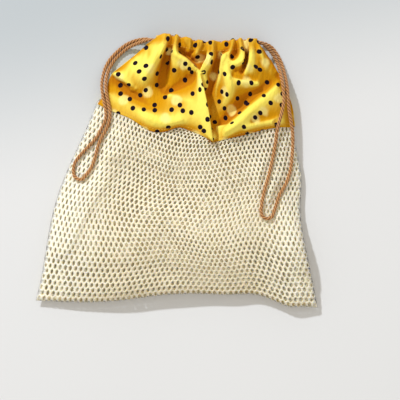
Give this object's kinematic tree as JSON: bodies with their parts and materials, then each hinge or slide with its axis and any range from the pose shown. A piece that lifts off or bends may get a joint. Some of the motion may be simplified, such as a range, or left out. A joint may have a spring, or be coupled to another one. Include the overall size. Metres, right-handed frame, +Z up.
{
  "type": "mesh produce bag",
  "caption": "Reusable knitted net bag with a gathered cotton cuff, drawn half shut by two cord loops, lying flat on its back.",
  "frame": {"origin": "centre of the laid bag's footprint, without its free cord loops, at the height of the table", "axes": "+X across the bag to its right seam, +Y from the bottom seam to the mouth, +Z up from the table to the front face"},
  "size_m": [0.282, 0.273, 0.0328],
  "materials": {
    "net_cotton": "matt undyed knitted cotton net",
    "cuff_cotton": "matt yellow plain-woven cotton with dark spots and pale blotches",
    "cord_cotton": "tan twisted cotton cord with a soft sheen",
    "cream_thread": "undyed overlocked seam allowance",
    "yellow_thread": "yellow sewing thread"
  },
  "bodies": {
    "bag": {"net_front_panel": "net_cotton", "net_back_panel": "net_cotton", "left_side_seam": "cream_thread", "right_side_seam": "cream_thread", "bottom_seam": "cream_thread", "cuff_front_panel": "cuff_cotton", "cuff_back_panel": "cuff_cotton", "left_cuff_seam": "yellow_thread", "right_cuff_seam": "yellow_thread", "front_join_stitching": "yellow_thread", "back_join_stitching": "yellow_thread", "front_casing_stitching": "yellow_thread", "back_casing_stitching": "yellow_thread"},
    "left_drawstring": {"left_drawstring_loop": "cord_cotton", "left_drawstring_run": "cord_cotton"},
    "right_drawstring": {"right_drawstring_loop": "cord_cotton", "right_drawstring_run": "cord_cotton"},
    "left_mouth_end": {"left_casing_end": "cuff_cotton"},
    "right_mouth_end": {"right_casing_end": "cuff_cotton"}
  },
  "joints": [
    {"name": "left_drawstring_pull", "type": "slide", "parent": "bag", "child": "left_drawstring", "axis": [-1, 0, 0], "range_m": [0, 0.03]},
    {"name": "right_drawstring_pull", "type": "slide", "parent": "bag", "child": "right_drawstring", "axis": [1, 0, 0], "range_m": [0, 0.03]},
    {"name": "right_mouth_gather", "type": "slide", "parent": "bag", "child": "right_mouth_end", "axis": [-1, 0, 0], "range_m": [0, 0.03], "deforming": ["cuff_front_panel", "cuff_back_panel", "front_casing_stitching", "back_casing_stitching", "left_drawstring_run", "right_drawstring_run"]},
    {"name": "left_mouth_gather", "type": "slide", "parent": "bag", "child": "left_mouth_end", "axis": [1, 0, 0], "range_m": [0, 0.03], "deforming": ["cuff_front_panel", "cuff_back_panel", "front_casing_stitching", "back_casing_stitching", "left_drawstring_run", "right_drawstring_run"]}
  ],
  "couplings": [
    {"joint": "right_mouth_gather", "follows": "left_drawstring_pull", "ratio": 1},
    {"joint": "left_mouth_gather", "follows": "right_drawstring_pull", "ratio": 1}
  ]
}
